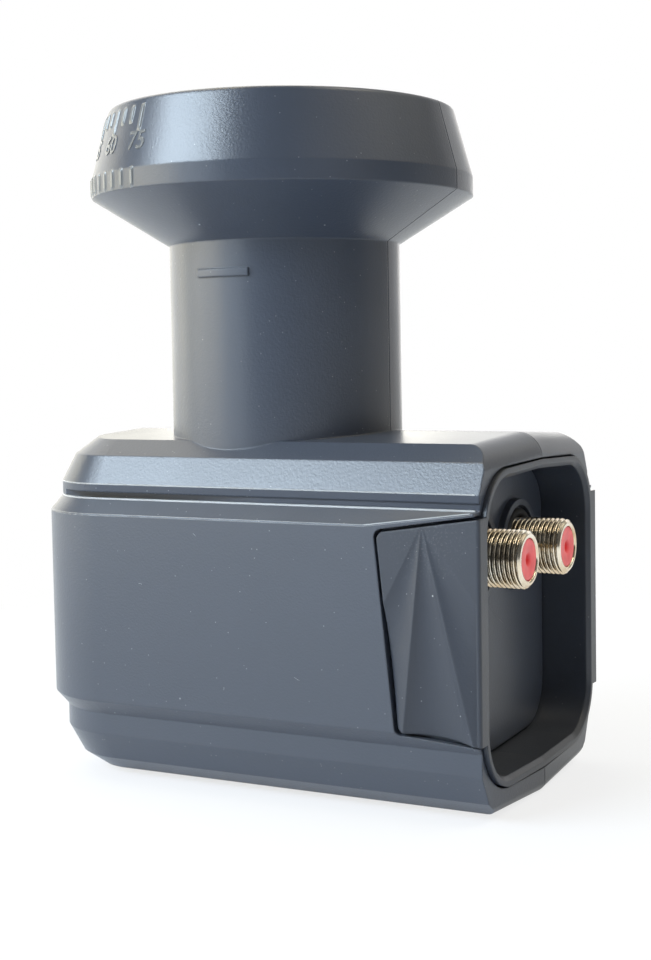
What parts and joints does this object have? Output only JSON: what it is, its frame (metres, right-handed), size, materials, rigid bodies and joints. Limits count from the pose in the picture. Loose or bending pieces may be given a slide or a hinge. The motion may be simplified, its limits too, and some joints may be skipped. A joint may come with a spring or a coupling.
{
  "type": "satellite dish low-noise block converter",
  "caption": "Dish-feed converter with a round feed drum, a cylindrical clamping neck and a box body whose sliding weather cover shields threaded coaxial outlets.",
  "frame": {"origin": "on the feed axis at the middle of the clamping neck", "axes": "+Z along the feed axis out of the feed aperture, +X the way the coaxial outlets and the weather cover leave the body, front of the picture towards -Y"},
  "size_m": [0.0892, 0.0658, 0.1138],
  "materials": {
    "housing_plastic": "fine moulded satin grain, anthracite",
    "cover_plastic": "fine moulded satin grain, anthracite",
    "plate_plastic": "satin moulded plastic, anthracite",
    "cap_plastic": "satin moulded plastic, dark grey",
    "seal_rubber": "matte",
    "cast_metal": "as cast",
    "lid_metal": "rolled sheet",
    "screw_steel": "zinc plated",
    "board_laminate": "solder mask",
    "plated_copper": "plated",
    "chip_resin": "moulded resin",
    "can_metal": "stamped can",
    "connector_metal": "nickel plated, slightly warm",
    "red_insulator": "smooth moulded"
  },
  "bodies": {
    "housing": {"front_shell": "housing_plastic", "rear_shell": "housing_plastic", "end_plate": "plate_plastic", "feed_cap": "cap_plastic", "feed_cap_seal": "seal_rubber", "chassis_casting": "cast_metal", "chassis_lid": "lid_metal", "lid_gasket": "seal_rubber", "lid_screws": "screw_steel", "circuit_board": "board_laminate", "board_screws": "screw_steel", "probe_vertical": "plated_copper", "probe_horizontal": "plated_copper", "amplifier_transistors": "chip_resin", "converter_chip": "chip_resin", "reference_crystal": "can_metal", "voltage_regulator": "chip_resin", "connector_front_shell": "connector_metal", "connector_front_insulator": "red_insulator", "connector_front_contact": "plated_copper", "connector_front_seal": "seal_rubber", "connector_rear_shell": "connector_metal", "connector_rear_insulator": "red_insulator", "connector_rear_contact": "plated_copper", "connector_rear_seal": "seal_rubber"},
    "cover": {"weather_cover": "cover_plastic"}
  },
  "joints": [
    {"name": "cover_slide", "type": "slide", "parent": "housing", "child": "cover", "axis": [1, 0, 0], "range_m": [0, 0.025]}
  ]
}
